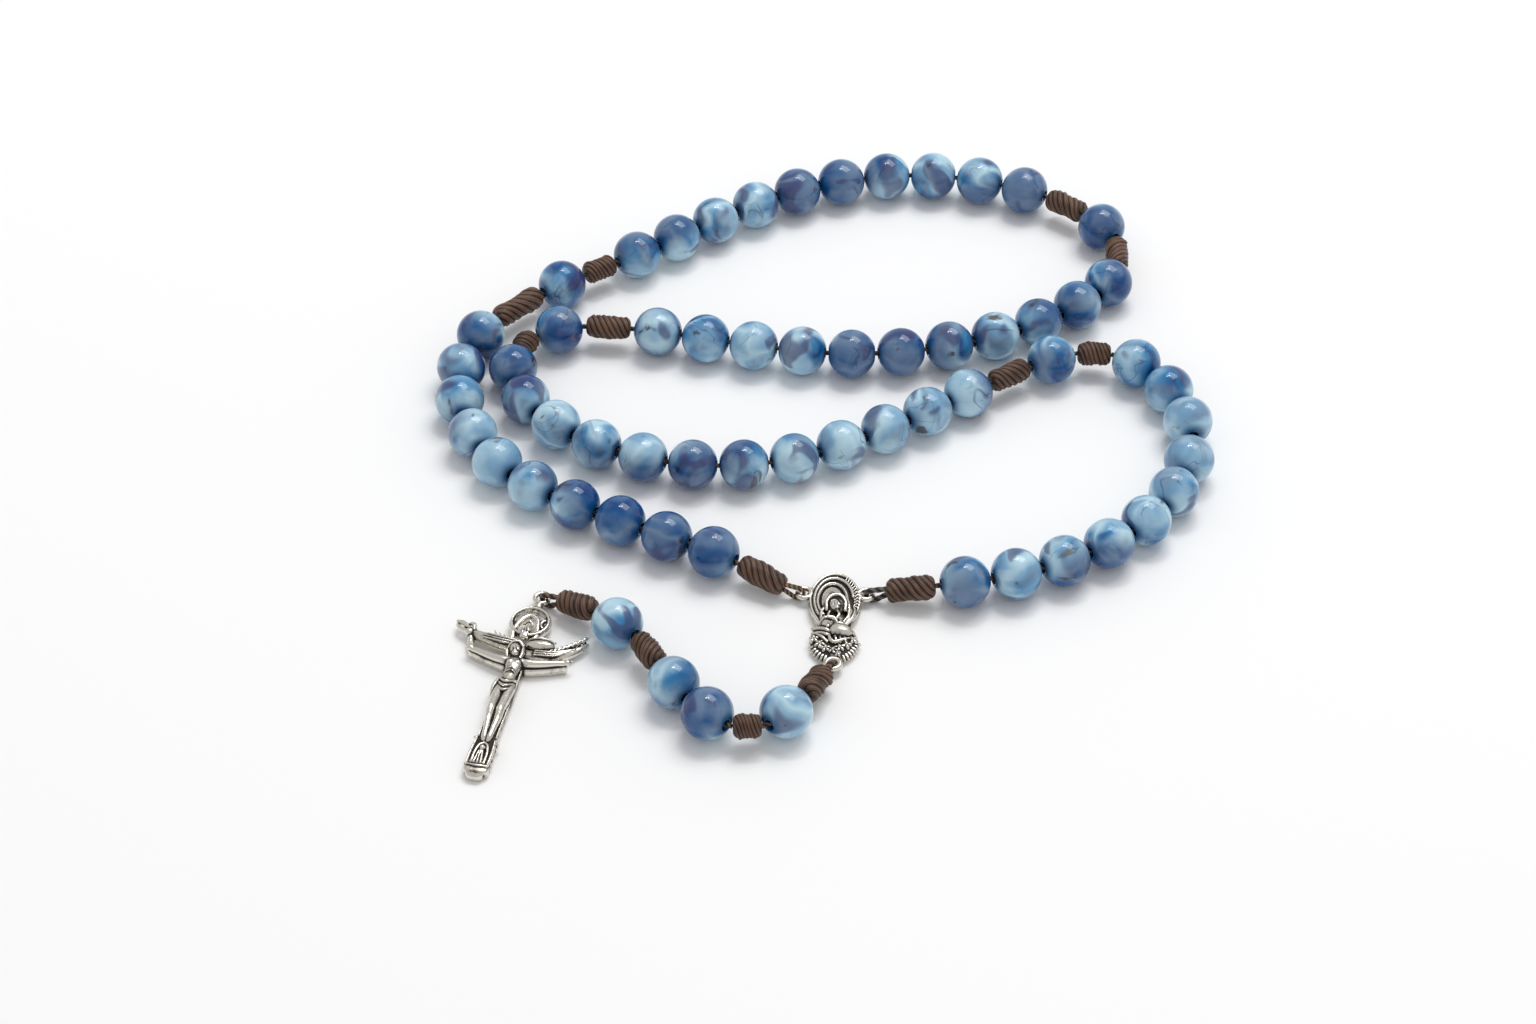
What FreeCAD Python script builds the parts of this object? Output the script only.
"""Rosary: marbled beads strung on a knotted cord, a centre medal and a crucifix.

Frame: millimetres, +Z up, the rosary lies on the plane Z = 0. The origin is under the middle
of its bounding box, and +Y runs away from the crucifix along the rosary's length.

The cord's route is a list of points joined by straight runs and tangent arcs. Beads and knots
are strung along it one after the other, each one touching distance from the last, and the
route is scaled about the origin until the string ends exactly where the route ends. Sizes can
therefore change one by one, and what they carry follows.
"""

import FreeCAD, Part
import math
import os

from FreeCAD import Vector

# --- Driving dimensions, mm -------------------------------------------------------------------
BEAD_D = 8.0                # diameter of every bead
BEAD_GAP = 0.05             # clear distance between two beads that sit side by side
CORD_D = 0.8                # waxed cord
BORE_ROOM = 0.15            # room in a bead's hole for the bend of the cord, per mm of bead
KNOT_D = 3.8                # wrapped knot, at its middle
KNOT_END_D = 1.6            # wrapped knot, at its two end faces
KNOT_TAPER = 1.2            # length over which a knot's ends round off
KNOT_GAP = 0.6              # clear distance between a knot's end face and the bead beside it
KNOT_END_BULGE = 0.75       # roundness of a knot's ends: 0 is a cone, 1 is full
CORD_SEAT = 0.4             # depth to which a fixed cord runs into a knot

EYE_WIRE_D = 0.8            # thickness of a cast eye's ring
EYE_NECK_D = 0.76           # thickness of the bar that joins a medal's eye to the medal
LOOP_CLEARANCE = 0.2        # clear distance between a cord loop and the ring that it pulls on
EYE_CLEARANCE = 0.3         # clear distance between that loop and the far side of the eye's hole
STRAND_GAP = 0.12           # clear distance between the two strands of a loop at their knot
TABLE_CLEARANCE = 0.02      # clear distance between a cord loop's underside and the table
KNOT_LEAN = 1.0             # how far the end of a knot stands above the eye beside it
PENDANT_LEAD = (-1.4, -2.8) # from the medal's lower eye to the first pendant knot
CROSS_LEAD = (-2.9, 1.4)    # from the last knot to the crucifix's eye
ARC_SHARE = 0.45            # share of a run that each tangent arc takes

MEDAL_EYE_SPACING = 9.3     # between the centres of the medal's two upper eyes
MEDAL_HEADING = -2.0        # turn of the medal about +Z as it lies, degrees
MEDAL_HOOD_W = 8.0          # width of the medal's upper oval
MEDAL_HOOD_H = 12.0         # height of the medal's upper oval
MEDAL_HOOD_DROP = 1.5       # from the upper eyes down to the middle of the upper oval
MEDAL_BASE_W = 7.8          # width of the medal's lower oval
MEDAL_BASE_H = 9.0          # height of the medal's lower oval
MEDAL_BASE_OVERLAP = 2.2    # how far the lower oval reaches into the upper one
MEDAL_PLATE_T = 1.5         # thickness of the medal's plate
MEDAL_RELIEF_T = 3.4        # height of the medal's relief above its back
HOOD_RELIEF = (0.86, 0.86, 0.8)     # relief of the upper oval: shares of its width, height and rise
BASE_RELIEF = (0.84, 0.84, 1.0)     # relief of the lower oval: the same shares
RELIEF_SINK = 0.3           # depth to which the middle of the relief lies in the plate

CROSS_LENGTH = 37.7         # from the crucifix's eye to the end of its foot
CROSS_SHAFT_W = 3.2         # width of the upright
CROSS_FOOT_W = 4.0          # width of the rounded foot
CROSS_BEAM_W = 2.6          # width of the curved cross-beam
CROSS_SPAN = 20.0           # from tip to tip of the cross-beam
CROSS_TIP_DROP = 7.7        # from the eye down to the tips of the beam
CROSS_BEAM_DROP = 13.6      # from the eye down to the middle of the beam
CROSS_T = 1.6               # thickness of the cross
CROSS_HEADING = -12.7       # turn of the crucifix about +Z as it lies, degrees
HALO_D = 6.5                # outside diameter of the ring behind the head
HALO_BAND = 1.1             # width of that ring's band
HALO_DROP = 5.4             # from the eye down to the middle of the halo
HALO_NECK_W = 2.0           # width of the bar between the halo and the eye
FIGURE_HEAD_D = 2.4         # head of the figure
FIGURE_CHEST_W = 2.7        # chest of the figure
FIGURE_LIMB_D = 1.3         # arms and legs of the figure
FIGURE_PROUD = 0.1          # how far the figure's joints stand above the face of the cross

# Proportions of the figure.
HEAD_RISE = 0.95            # from the shoulders up to the middle of the head, in heads
HEAD_PROUD = 0.3            # from the face of the cross up to the middle of the head, in heads
SHOULDER_SPREAD = 0.35      # from the middle to a shoulder, in chest widths
HAND_SPREAD = 0.36          # from the middle to a hand, in spans of the beam
HAND_RISE = 0.28            # from the beam's middle up to the hands, in rises of its tips
HIP_DROP = 0.24             # from the shoulders down to the hips, in lengths of the cross
ANKLE_RISE = 0.21           # from the end of the foot up to the ankles, in lengths of the cross
HIP_SPREAD = 0.45           # from the middle to a hip, in limb diameters
ANKLE_SPREAD = 0.35         # from the middle to an ankle, in limb diameters
WAIST_SHARE = 0.8           # waist, in chest widths
HAND_SHARE = 0.8            # wrist, in limb diameters
HIP_SHARE = 1.15            # thigh, in limb diameters
ANKLE_SHARE = 0.9           # ankle, in limb diameters

# Lengths of the fourteen wrapped knots, in the order in which the cord runs: round the loop
# from the medal's left eye to its right eye, then down the pendant.
KNOT_LENGTHS = [7.8, 9.2, 5.4, 7.2, 6.8, 7.2, 4.0, 7.0, 5.4, 7.4, 6.7, 4.2, 6.0, 6.6]

# Number of beads in each of the five decades.
DECADE_COUNTS = [10, 10, 11, 12, 10]

# Places where the beads stand a little apart: (decade, bead before the space) -> extra space.
BEAD_SLACK = {(1, 7): 0.5, (1, 9): 0.6, (5, 3): 1.2}

# Route of the loop's cord over the table, from the medal's left side to its right side.
LOOP_ROUTE = [
    (-6.1, -33.2), (-14.5, -28.1), (-29.0, -21.3), (-43.5, -13.8), (-53.0, -5.3),
    (-58.5, 7.7), (-58.3, 20.2), (-52.0, 30.7), (-41.0, 39.2), (-28.5, 46.7),
    (-16.0, 56.3), (-1.5, 64.5), (15.5, 68.5), (32.0, 65.5), (44.0, 59.0),
    (51.2, 49.3), (49.6, 38.3), (38.5, 28.7), (23.5, 22.0), (6.5, 19.2),
    (-10.5, 21.7), (-26.5, 25.7), (-39.4, 27.3), (-47.6, 24.7), (-51.0, 15.7),
    (-46.0, 5.2), (-35.0, -3.3), (-19.5, -8.0), (-4.0, -6.3), (11.5, 1.9),
    (25.0, 11.0), (36.3, 18.3), (44.6, 20.9), (53.2, 17.3), (59.6, 2.2),
    (56.5, -11.8), (47.0, -23.8), (32.0, -31.5), (18.0, -34.5), (9.5, -34.1),
]

# Route of the pendant's cord, from under the medal to the crucifix.
PENDANT_ROUTE = [
    (-0.2, -51.5), (-2.8, -57.5), (-6.8, -62.9), (-12.0, -65.0), (-17.6, -61.9),
    (-22.9, -54.9), (-26.9, -46.5), (-33.7, -40.1), (-39.9, -36.1),
]

# --- Values that follow from the driving dimensions -------------------------------------------
BEAD_R = BEAD_D / 2
BEAD_BORE_D = CORD_D + BORE_ROOM * BEAD_D         # drilled hole through a bead
CORD_R = CORD_D / 2
EYE_WIRE_R = EYE_WIRE_D / 2
LOOP_R = EYE_WIRE_R + LOOP_CLEARANCE + CORD_R     # turn of a cord loop round an eye's ring
EYE_D = LOOP_R + CORD_R + EYE_CLEARANCE + EYE_WIRE_R    # eye, at the middle of its ring
EYE_R = EYE_D / 2
EYE_Z = LOOP_R + CORD_R + TABLE_CLEARANCE         # height of every eye
KNOT_END_Z = EYE_Z + KNOT_LEAN                    # height of a knot's end beside an eye
STRAND_OFFSET = CORD_R + STRAND_GAP / 2           # the two strands of a loop at their knot


# --- Route ------------------------------------------------------------------------------------
class Run:
    """Straight piece of a route."""

    def __init__(self, start, end):
        self.start = start
        self.direction = (end - start).normalize()
        self.length = start.distanceToPoint(end)

    def point(self, s):
        return self.start + self.direction * s

    def heading(self, s):
        return self.direction

    def edge(self, s0, s1):
        return Part.LineSegment(self.point(s0), self.point(s1)).toShape()


class Turn:
    """Circular piece of a route, tangent to the runs on both sides of a corner."""

    def __init__(self, corner, incoming, outgoing, reach):
        angle = incoming.getAngle(outgoing)
        self.radius = reach / math.tan(angle / 2)
        self.length = self.radius * angle
        self.tangent = Vector(incoming)
        inward = outgoing - incoming * incoming.dot(outgoing)
        self.inward = inward.normalize()
        self.centre = corner - incoming * reach + self.inward * self.radius

    def point(self, s):
        angle = s / self.radius
        across = self.inward * (-self.radius * math.cos(angle))
        along = self.tangent * (self.radius * math.sin(angle))
        return self.centre + across + along

    def heading(self, s):
        angle = s / self.radius
        return self.tangent * math.cos(angle) + self.inward * math.sin(angle)

    def edge(self, s0, s1):
        middle = self.point((s0 + s1) / 2)
        return Part.Arc(self.point(s0), middle, self.point(s1)).toShape()


class Route:
    """Path through hand-placed points: straight runs joined by tangent arcs."""

    def __init__(self, points):
        gaps = [points[i].distanceToPoint(points[i + 1]) for i in range(len(points) - 1)]
        self.pieces = []
        self.radii = []
        start = points[0]
        for i in range(1, len(points) - 1):
            incoming = (points[i] - points[i - 1]).normalize()
            outgoing = (points[i + 1] - points[i]).normalize()
            reach = ARC_SHARE * min(gaps[i - 1], gaps[i])
            turn = Turn(points[i], incoming, outgoing, reach)
            self.pieces.append(Run(start, points[i] - incoming * reach))
            self.pieces.append(turn)
            self.radii.append(turn.radius)
            start = points[i] + outgoing * reach
        self.pieces.append(Run(start, points[-1]))
        self.length = sum(piece.length for piece in self.pieces)

    def piece_at(self, s):
        """Piece that holds distance s, and the distance along that piece."""
        for piece in self.pieces[:-1]:
            if s <= piece.length:
                return piece, s
            s -= piece.length
        return self.pieces[-1], s

    def point(self, s):
        """Point at distance s along the route; it runs on straight past both ends."""
        piece, along = self.piece_at(s)
        return piece.point(along)

    def heading(self, s):
        """Direction of travel at distance s."""
        piece, along = self.piece_at(s)
        return piece.heading(along)

    def wire(self, s0, s1):
        """Wire of line and arc edges from distance s0 to distance s1."""
        edges = []
        begin = 0.0
        for index, piece in enumerate(self.pieces):
            low = max(s0 - begin, 0.0) if index else s0
            high = s1 - begin
            if index < len(self.pieces) - 1:
                high = min(high, piece.length)
            if high - low > 1e-6:
                edges.append(piece.edge(low, high))
            begin += piece.length
        return Part.Wire(edges)


def seat(route, s, half):
    """Middle and axis of a straight piece threaded on the route at distance s.

    The piece's hole is straight and the cord bends, so the piece sits half-way between the
    cord's line and the chord between the hole's two mouths. It rests on the table.
    """
    before = route.point(s - half)
    after = route.point(s + half)
    centre = (before + after + route.point(s) * 2) * 0.25
    axis = after - before
    centre.z = BEAD_R
    axis.z = 0
    return centre, axis.normalize()


def cord_distance(route, origin):
    """Distance from a fixed point to the route, as a function of s."""
    return lambda s: route.point(s).distanceToPoint(origin)


def bead_distance(route, origin):
    """Distance from a fixed point to the middle of a bead on the route, as a function of s."""
    return lambda s: seat(route, s, BEAD_R)[0].distanceToPoint(origin)


def advance(distance_at, wanted, start):
    """Smallest s after start at which distance_at(s) reaches the wanted distance."""
    low = start
    high = start + 3 * wanted
    for _ in range(50):
        middle = (low + high) / 2
        if distance_at(middle) < wanted:
            low = middle
        else:
            high = middle
    return high


# --- Stringing --------------------------------------------------------------------------------
class Bead:
    """One bead of the string: its middle, its axis and its distance along the route."""

    def __init__(self, route, s):
        self.s = s
        self.centre, self.axis = seat(route, s, BEAD_R)


class Knot:
    """One wrapped knot: the two distances along the route, and its two end points."""

    def __init__(self, route, s0, s1):
        self.s0 = s0
        self.s1 = s1
        self.start = route.point(s0)
        self.end = route.point(s1)
        self.axis = (self.end - self.start).normalize()


def string_pieces(route, plan):
    """String knots and beads along a route.

    Args:
        route: the cord's route.
        plan: list of ("knot", length) and ("bead", extra space before it).

    Returns:
        The strung Knot and Bead objects, in order.
    """
    strung = []
    for kind, value in plan:
        last = strung[-1] if strung else None
        if kind == "knot":
            s0 = 0.0
            if last is not None:
                s0 = advance(cord_distance(route, last.centre), BEAD_R + KNOT_GAP, last.s)
            s1 = advance(cord_distance(route, route.point(s0)), value, s0)
            strung.append(Knot(route, s0, s1))
            continue
        if isinstance(last, Knot):
            begin = last.s1
            origin = last.end
            wanted = BEAD_R + KNOT_GAP
        else:
            begin = last.s
            origin = last.centre
            wanted = BEAD_D + BEAD_GAP + value
        strung.append(Bead(route, advance(bead_distance(route, origin), wanted, begin)))
    return strung


def fitted_route(points, plan, place):
    """Scale a route until the string ends where the route ends.

    Args:
        points: the hand-placed points.
        plan: what is strung on the route.
        place: function from a plane point and a scale to the point in space.

    Returns:
        The route, the strung pieces and the scale.
    """
    low = 0.5
    high = 2.0
    for _ in range(40):
        scale = (low + high) / 2
        route = Route([place(point, scale, index) for index, point in enumerate(points)])
        strung = string_pieces(route, plan)
        if strung[-1].s1 > route.length:
            low = scale
        else:
            high = scale
    return route, strung, scale


def loop_plan():
    """What is strung on the loop, from the medal's left side to its right side."""
    plan = [("knot", KNOT_LENGTHS[0])]
    for decade, count in enumerate(DECADE_COUNTS, start=1):
        for bead in range(1, count + 1):
            plan.append(("bead", BEAD_SLACK.get((decade, bead - 1), 0.0)))
        plan.append(("knot", KNOT_LENGTHS[2 * decade - 1]))
        if decade < len(DECADE_COUNTS):
            plan.append(("bead", 0.0))
            plan.append(("knot", KNOT_LENGTHS[2 * decade]))
    return plan


def pendant_plan():
    """What is strung on the pendant: one bead, two beads and one bead between its knots."""
    first, second, third, fourth = KNOT_LENGTHS[-4:]
    return [
        ("knot", first), ("bead", 0.0),
        ("knot", second), ("bead", 0.0), ("bead", 0.0),
        ("knot", third), ("bead", 0.0),
        ("knot", fourth),
    ]


# --- Solids of the string ---------------------------------------------------------------------
def turned(shape, axis, position):
    """Turn a shape built along +Z onto an axis and move its origin to a position."""
    rotation = FreeCAD.Rotation(Vector(0, 0, 1), axis)
    shape.Placement = FreeCAD.Placement(position, rotation)
    return shape


def bead_solid(bead):
    """Round bead with its drilled hole."""
    ball = Part.makeSphere(BEAD_R)
    hole = Part.makeCylinder(BEAD_BORE_D / 2, 2 * BEAD_D, Vector(0, 0, -BEAD_D))
    return turned(ball.cut(hole).Solids[0], bead.axis, bead.centre)


def knot_solid(knot):
    """Wrapped knot: a barrel with rounded ends, between its two end points."""
    length = knot.start.distanceToPoint(knot.end)
    end_r = KNOT_END_D / 2
    full_r = KNOT_D / 2
    taper = min(KNOT_TAPER, 0.3 * length)
    bulge_r = end_r + (full_r - end_r) * math.sqrt(KNOT_END_BULGE)
    corners = [
        Vector(0, 0, 0), Vector(end_r, 0, 0), Vector(full_r, 0, taper),
        Vector(full_r, 0, length - taper), Vector(end_r, 0, length), Vector(0, 0, length),
    ]
    edges = [
        Part.LineSegment(corners[0], corners[1]).toShape(),
        Part.Arc(corners[1], Vector(bulge_r, 0, taper / 2), corners[2]).toShape(),
        Part.LineSegment(corners[2], corners[3]).toShape(),
        Part.Arc(corners[3], Vector(bulge_r, 0, length - taper / 2), corners[4]).toShape(),
        Part.LineSegment(corners[4], corners[5]).toShape(),
        Part.LineSegment(corners[5], corners[0]).toShape(),
    ]
    barrel = Part.Face(Part.Wire(edges)).revolve(Vector(0, 0, 0), Vector(0, 0, 1), 360)
    return turned(barrel, knot.axis, knot.start)


def tube(wire, start, direction):
    """Cord solid: a round section swept along a wire."""
    section = Part.Wire([Part.makeCircle(CORD_R, start, direction)])
    return wire.makePipeShell([section], True, True)


def cord_tube(route, s0, s1, free_start, free_end):
    """Cord along part of a route.

    Args:
        route: the cord's route.
        s0: distance at which the knot before it ends.
        s1: distance at which the knot after it starts.
        free_start: True where the cord flexes at its first knot, so its tip is round.
        free_end: the same for its last knot; a fixed end runs into the knot instead.

    Returns:
        One solid.
    """
    begin = s0 + CORD_R if free_start else s0 - CORD_SEAT
    finish = s1 - CORD_R if free_end else s1 + CORD_SEAT
    start = route.point(begin)
    solid = tube(route.wire(begin, finish), start, route.heading(begin))
    volume = math.pi * CORD_R ** 2 * (finish - begin)
    ratio = solid.Volume / volume
    print(f"  cord {finish - begin:7.2f} mm, volume over section times length {ratio:.4f}")
    tips = []
    if free_start:
        tips.append(Part.makeSphere(CORD_R, start))
    if free_end:
        tips.append(Part.makeSphere(CORD_R, route.point(finish)))
    if tips:
        solid = solid.fuse(tips).removeSplitter()
    return solid.Solids[0]


def cord_loop(knot_face, knot_axis, eye):
    """Loop of cord from a knot's end face, through a flat-lying eye, and back.

    Args:
        knot_face: middle of the knot's end face.
        knot_axis: direction in which that face looks.
        eye: middle of the eye's hole.

    Returns:
        One solid: two strands joined by the turn round the ring of the eye.
    """
    flat = Vector(eye.x - knot_face.x, eye.y - knot_face.y, 0)
    distance = flat.Length
    along = flat.normalize()
    up = Vector(0, 0, 1)
    ring = Vector(eye) - along * EYE_R
    start_level = knot_face - knot_axis * CORD_SEAT
    tangent_points = []
    starts = []
    for side in (1, -1):
        start = start_level + up * (side * STRAND_OFFSET)
        offset = start - ring
        x = offset.dot(along)
        z = offset.z
        reach = math.hypot(x, z)
        lean = math.acos(LOOP_R / reach)
        angle = math.atan2(z, x) - side * lean
        spoke = along * math.cos(angle) + up * math.sin(angle)
        tangent_points.append(ring + spoke * LOOP_R)
        starts.append(start)
    far = ring + along * LOOP_R
    edges = [
        Part.LineSegment(starts[0], tangent_points[0]).toShape(),
        Part.Arc(tangent_points[0], far, tangent_points[1]).toShape(),
        Part.LineSegment(tangent_points[1], starts[1]).toShape(),
    ]
    direction = (tangent_points[0] - starts[0]).normalize()
    print(f"  loop radius {LOOP_R:.2f} mm, knot to eye {distance:.2f} mm")
    return tube(Part.Wire(edges), starts[0], direction)


# --- Castings ---------------------------------------------------------------------------------
def oval_plate(width, height, thickness, centre):
    """Flat oval plate lying on Z = 0, its height along Y."""
    long_way = height >= width
    major = max(width, height) / 2
    minor = min(width, height) / 2
    ellipse = Part.Ellipse(Vector(0, 0, 0), major, minor)
    face = Part.Face(Part.Wire([ellipse.toShape()]))
    plate = face.extrude(Vector(0, 0, thickness))
    if long_way:
        plate.rotate(Vector(0, 0, 0), Vector(0, 0, 1), 90)
    plate.translate(centre)
    return plate


def eye_ring(centre):
    """Cast eye lying flat, its hole upright."""
    return Part.makeTorus(EYE_R, EYE_WIRE_R, centre)


def eye_neck(body_point, eye):
    """Bar from a point inside the casting to the middle of the wire of an eye's ring."""
    direction = eye - body_point
    length = direction.Length - EYE_R
    neck = Part.makeCylinder(EYE_NECK_D / 2, length)
    return turned(neck, direction.normalize(), body_point)


def ellipsoid(centre, size):
    """Ellipsoid with its three full widths along X, Y and Z."""
    matrix = FreeCAD.Matrix()
    matrix.scale(size[0], size[1], size[2])
    ball = Part.makeSphere(0.5).transformGeometry(matrix)
    ball.translate(centre)
    return ball


def medal_casting():
    """Centre medal: a hooded head above, a small head and drapery below, and three eyes.

    The origin is midway between the two upper eyes, on the table, and -Y points at the
    pendant.
    """
    hood_centre = Vector(0, -MEDAL_HOOD_DROP, 0)
    base_y = hood_centre.y - MEDAL_HOOD_H / 2 - MEDAL_BASE_H / 2 + MEDAL_BASE_OVERLAP
    base_centre = Vector(0, base_y, 0)
    hood = oval_plate(MEDAL_HOOD_W, MEDAL_HOOD_H, MEDAL_PLATE_T, hood_centre)
    base = oval_plate(MEDAL_BASE_W, MEDAL_BASE_H, MEDAL_PLATE_T, base_centre)
    level = Vector(0, 0, MEDAL_PLATE_T - RELIEF_SINK)
    rise = 2 * (MEDAL_RELIEF_T - level.z)
    hood_size = [a * b for a, b in zip(HOOD_RELIEF, (MEDAL_HOOD_W, MEDAL_HOOD_H, rise))]
    base_size = [a * b for a, b in zip(BASE_RELIEF, (MEDAL_BASE_W, MEDAL_BASE_H, rise))]
    reach = MEDAL_HOOD_H + MEDAL_BASE_H + rise
    below = Part.makeBox(2 * reach, 2 * reach, reach, Vector(-reach, -reach, -reach))
    hood_dome = ellipsoid(hood_centre + level, hood_size).cut(below)
    base_dome = ellipsoid(base_centre + level, base_size).cut(below)
    solid = hood.fuse([base, hood_dome, base_dome])
    for eye, root in zip(medal_eyes(), (hood_centre, hood_centre, base_centre)):
        body_point = Vector(root.x, eye.y, EYE_Z)
        if eye.x == 0:
            body_point = Vector(0, root.y, EYE_Z)
        solid = solid.fuse([eye_neck(body_point, eye), eye_ring(eye)])
    return solid.Solids[0]


def medal_eyes():
    """Middles of the medal's left, right and lower eyes, in the medal's own frame."""
    half = MEDAL_EYE_SPACING / 2
    base_end = MEDAL_HOOD_DROP + MEDAL_HOOD_H / 2 + MEDAL_BASE_H - MEDAL_BASE_OVERLAP
    lower = base_end + EYE_R - EYE_WIRE_R
    return Vector(-half, 0, EYE_Z), Vector(half, 0, EYE_Z), Vector(0, -lower, EYE_Z)


def limb(start, end, start_d, end_d):
    """Tapered round limb between two joints, with a round joint at each end."""
    axis = end - start
    cone = turned(Part.makeCone(start_d / 2, end_d / 2, axis.Length), axis.normalize(), start)
    return [cone, Part.makeSphere(start_d / 2, start), Part.makeSphere(end_d / 2, end)]


def crucifix_casting():
    """Crucifix with its figure, halo and eye, the eye's middle over the origin, foot to -Y."""
    half_span = CROSS_SPAN / 2 - CROSS_BEAM_W / 2
    foot_r = CROSS_FOOT_W / 2
    shaft_length = CROSS_LENGTH - foot_r - HALO_DROP
    foot_centre = Vector(0, -CROSS_LENGTH + foot_r, 0)
    shaft_corner = foot_centre - Vector(CROSS_SHAFT_W / 2, 0, 0)
    shaft = Part.makeBox(CROSS_SHAFT_W, shaft_length, CROSS_T, shaft_corner)
    foot = Part.makeCylinder(foot_r, CROSS_T, foot_centre)
    middle = Vector(0, -CROSS_BEAM_DROP, 0)
    tips = [Vector(-half_span, -CROSS_TIP_DROP, 0), Vector(half_span, -CROSS_TIP_DROP, 0)]
    beam_arc = Part.Arc(tips[0], middle, tips[1]).toShape()
    across = beam_arc.tangentAt(beam_arc.FirstParameter).cross(Vector(0, 0, 1)).normalize()
    side = across * (CROSS_BEAM_W / 2)
    top = Vector(0, 0, CROSS_T)
    near = tips[0] - side
    far = tips[0] + side
    section = Part.makePolygon([near, far, far + top, near + top, near])
    beam = Part.Wire([beam_arc]).makePipeShell([section], True, False)
    ends = [Part.makeCylinder(CROSS_BEAM_W / 2, CROSS_T, tip) for tip in tips]
    halo_centre = Vector(0, -HALO_DROP, 0)
    halo = Part.makeCylinder(HALO_D / 2, CROSS_T, halo_centre)
    halo = halo.cut(Part.makeCylinder(HALO_D / 2 - HALO_BAND, 3 * CROSS_T, halo_centre - top))
    halo_top = HALO_DROP - HALO_D / 2
    neck_end = Vector(-HALO_NECK_W / 2, -halo_top - HALO_BAND, 0)
    neck = Part.makeBox(HALO_NECK_W, halo_top + HALO_BAND - EYE_R, CROSS_T, neck_end)
    eye = Vector(0, 0, EYE_Z)
    solid = shaft.fuse([foot, beam, halo, neck, eye_ring(eye)] + ends)
    return solid.fuse(figure_parts()).Solids[0]


def figure_parts():
    """The figure on the cross: head, chest, arms and legs, lying on the cross's face."""
    level = CROSS_T + FIGURE_PROUD
    shoulder_y = -CROSS_BEAM_DROP
    hip_y = shoulder_y - HIP_DROP * CROSS_LENGTH
    ankle_y = (ANKLE_RISE - 1) * CROSS_LENGTH
    hand_y = HAND_RISE * (CROSS_BEAM_DROP - CROSS_TIP_DROP) - CROSS_BEAM_DROP
    head_z = CROSS_T + HEAD_PROUD * FIGURE_HEAD_D
    head_centre = Vector(0, shoulder_y + HEAD_RISE * FIGURE_HEAD_D, head_z)
    chest = Vector(0, shoulder_y - SHOULDER_SPREAD * FIGURE_CHEST_W, level)
    waist = Vector(0, hip_y, level)
    parts = [Part.makeSphere(FIGURE_HEAD_D / 2, head_centre)]
    parts += limb(chest, waist, FIGURE_CHEST_W, WAIST_SHARE * FIGURE_CHEST_W)
    for side in (-1, 1):
        shoulder = Vector(side * SHOULDER_SPREAD * FIGURE_CHEST_W, shoulder_y, level)
        hand = Vector(side * HAND_SPREAD * CROSS_SPAN, hand_y, level)
        hip = Vector(side * HIP_SPREAD * FIGURE_LIMB_D, hip_y, level)
        ankle = Vector(side * ANKLE_SPREAD * FIGURE_LIMB_D, ankle_y, level)
        parts += limb(shoulder, hand, FIGURE_LIMB_D, HAND_SHARE * FIGURE_LIMB_D)
        parts += limb(hip, ankle, HIP_SHARE * FIGURE_LIMB_D, ANKLE_SHARE * FIGURE_LIMB_D)
    return parts


# --- Assembly ---------------------------------------------------------------------------------
def at_string_height(point, scale, index, count):
    """Point of a route in space: at bead height, and lower at its two ends, beside the eyes."""
    height = BEAD_R if 0 < index < count - 1 else KNOT_END_Z
    return Vector(point[0] * scale, point[1] * scale, height)


def build():
    """Build every node.

    Returns:
        Dictionary of node name to shape.
    """
    nodes = {}
    loop_count = len(LOOP_ROUTE)
    route, strung, scale = fitted_route(
        LOOP_ROUTE, loop_plan(), lambda p, k, i: at_string_height(p, k, i, loop_count)
    )
    print(f"loop {route.length:.1f} mm, scale {scale:.4f}, radii", rounded(route.radii))

    medal_middle = (route.point(0) + route.point(route.length)) * 0.5
    medal_place = FreeCAD.Placement(
        Vector(medal_middle.x, medal_middle.y, 0), FreeCAD.Rotation(Vector(0, 0, 1), MEDAL_HEADING)
    )
    eyes = [medal_place.multVec(eye) for eye in medal_eyes()]

    pendant_count = len(PENDANT_ROUTE)
    first = PENDANT_ROUTE[0]
    origin = eyes[2] + Vector(PENDANT_LEAD[0], PENDANT_LEAD[1], 0)

    def pendant_place(point, factor, index):
        step = (point[0] - first[0], point[1] - first[1])
        return at_string_height(step, factor, index, pendant_count) + Vector(origin.x, origin.y, 0)

    pendant, hung, pendant_scale = fitted_route(PENDANT_ROUTE, pendant_plan(), pendant_place)
    print(f"pendant {pendant.length:.1f} mm, scale {pendant_scale:.4f}, radii", rounded(pendant.radii))

    nodes.update(loop_nodes(route, strung))
    nodes.update(pendant_nodes(pendant, hung))
    nodes["centre_medal"] = placed(medal_casting(), medal_place)

    last_knot = hung[-1]
    crucifix_eye = last_knot.end + Vector(CROSS_LEAD[0], CROSS_LEAD[1], 0)
    crucifix_eye.z = EYE_Z
    crucifix_place = FreeCAD.Placement(
        Vector(crucifix_eye.x, crucifix_eye.y, 0), FreeCAD.Rotation(Vector(0, 0, 1), CROSS_HEADING)
    )
    nodes["crucifix"] = placed(crucifix_casting(), crucifix_place)

    nodes["medal_left_loop"] = cord_loop(strung[0].start, -strung[0].axis, eyes[0])
    nodes["medal_right_loop"] = cord_loop(strung[-1].end, strung[-1].axis, eyes[1])
    nodes["medal_lower_loop"] = cord_loop(hung[0].start, -hung[0].axis, eyes[2])
    nodes["crucifix_loop"] = cord_loop(last_knot.end, last_knot.axis, crucifix_eye)
    print("eyes", [rounded4(eye) for eye in eyes], "crucifix eye", rounded4(crucifix_eye))
    return nodes


def rounded(values):
    """Values with one decimal, for printing."""
    return [round(value, 1) for value in values]


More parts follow.
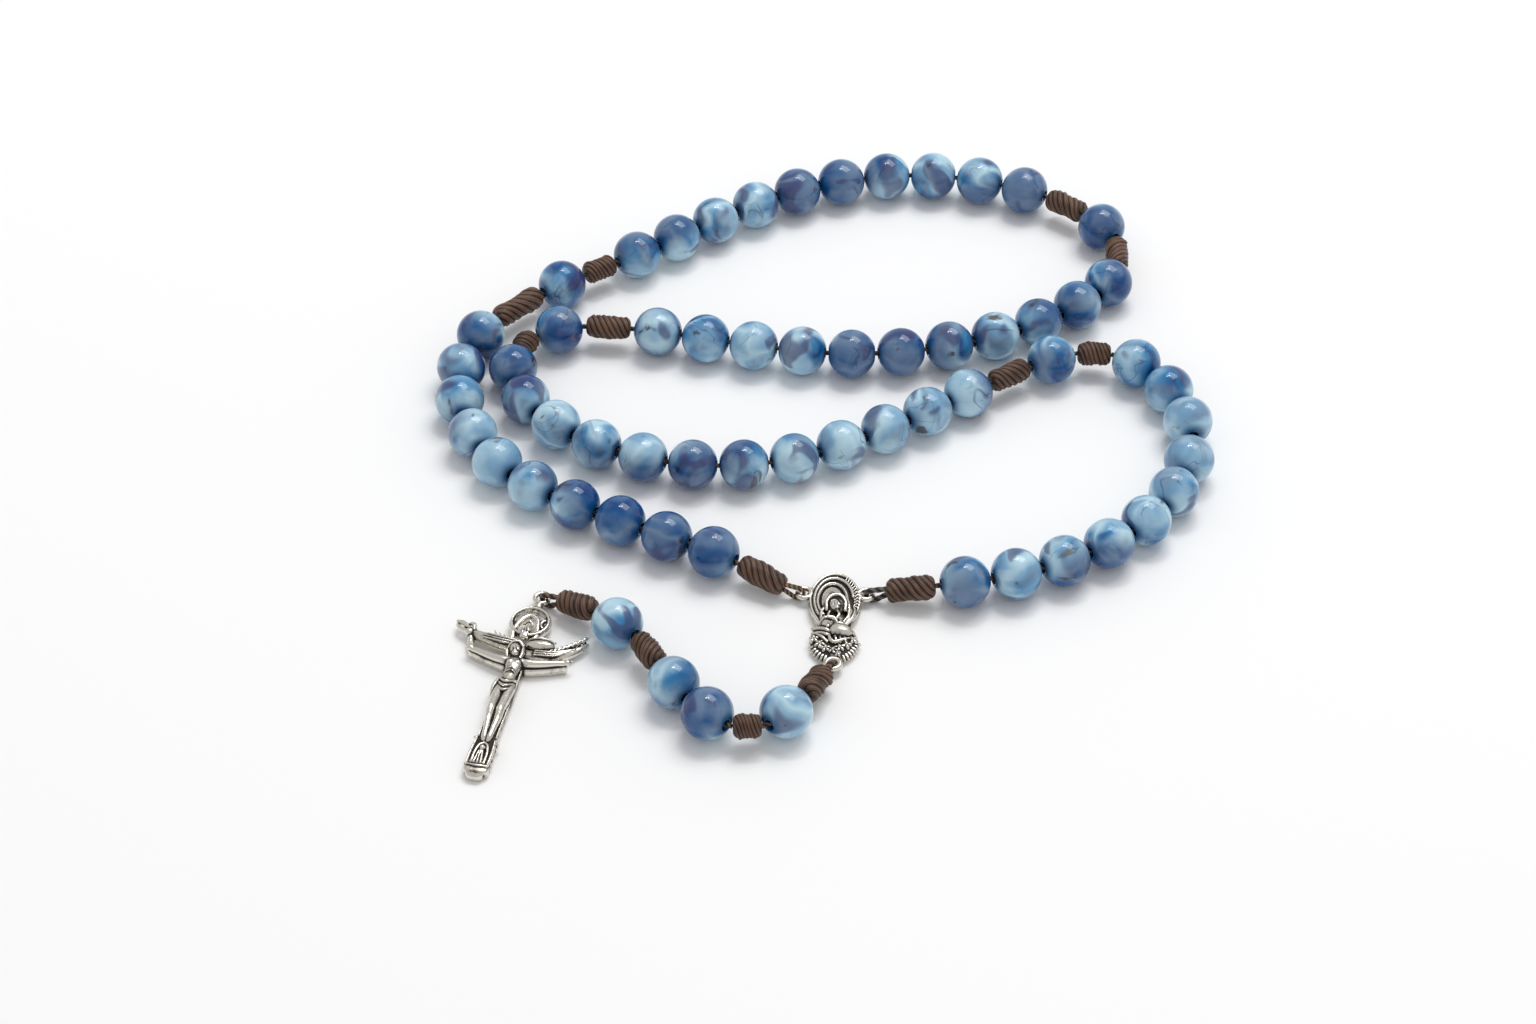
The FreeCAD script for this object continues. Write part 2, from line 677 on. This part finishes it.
def placed(shape, placement):
    """Shape moved to a placement."""
    shape.Placement = placement
    return shape


def loop_nodes(route, strung):
    """Nodes of the loop: decades, single beads, their cords and the ten knots."""
    nodes = {}
    decade = 0
    knot = 0
    beads = []
    for piece in strung:
        if isinstance(piece, Bead):
            beads.append(piece)
            continue
        if beads:
            begin = previous.s1
            solids = [bead_solid(bead) for bead in beads]
            if len(beads) > 1:
                decade += 1
                nodes[f"decade_{decade}_beads"] = Part.makeCompound(solids)
                nodes[f"decade_{decade}_cord"] = cord_tube(route, begin, piece.s0, True, True)
            else:
                nodes[f"our_father_bead_{decade}"] = solids[0]
                report_bead(decade, beads[0])
                nodes[f"our_father_cord_{decade}"] = cord_tube(route, begin, piece.s0, False, False)
            beads = []
        knot += 1
        nodes[f"knot_{knot:02d}"] = knot_solid(piece)
        report_knot(knot, piece)
        previous = piece
    return nodes


def pendant_nodes(route, hung):
    """Nodes of the pendant: four beads, three cords and four knots."""
    nodes = {}
    knot = len(KNOT_LENGTHS) - 4
    bead = 0
    for piece in hung:
        if isinstance(piece, Bead):
            bead += 1
            nodes[f"pendant_bead_{bead}"] = bead_solid(piece)
            report_bead(bead, piece)
            continue
        knot += 1
        nodes[f"knot_{knot:02d}"] = knot_solid(piece)
        report_knot(knot, piece)
    knots = [piece for piece in hung if isinstance(piece, Knot)]
    for cord in (1, 2, 3):
        flexes = cord > 1
        nodes[f"pendant_cord_{cord}"] = cord_tube(route, knots[cord - 1].s1, knots[cord].s0, flexes, False)
    return nodes


def report_knot(number, knot):
    """Print a knot's two end points and its direction, which the joints use."""
    ends = f"from {rounded4(knot.start)} to {rounded4(knot.end)}"
    print(f"  knot {number:2d} {ends} axis {rounded4(knot.axis)}")


def report_bead(number, bead):
    """Print a single bead's middle and axis, which its joint uses."""
    print(f"  bead {number:2d} at {rounded4(bead.centre)} axis {rounded4(bead.axis)}")


def rounded4(values):
    """Values with four decimals, for printing."""
    return [round(value, 4) for value in values]


def main():
    os.makedirs("parts", exist_ok=True)
    for name, shape in build().items():
        if not shape.isValid():
            print("not valid:", name)
        shape.exportStep(f"parts/{name}.step")


main()
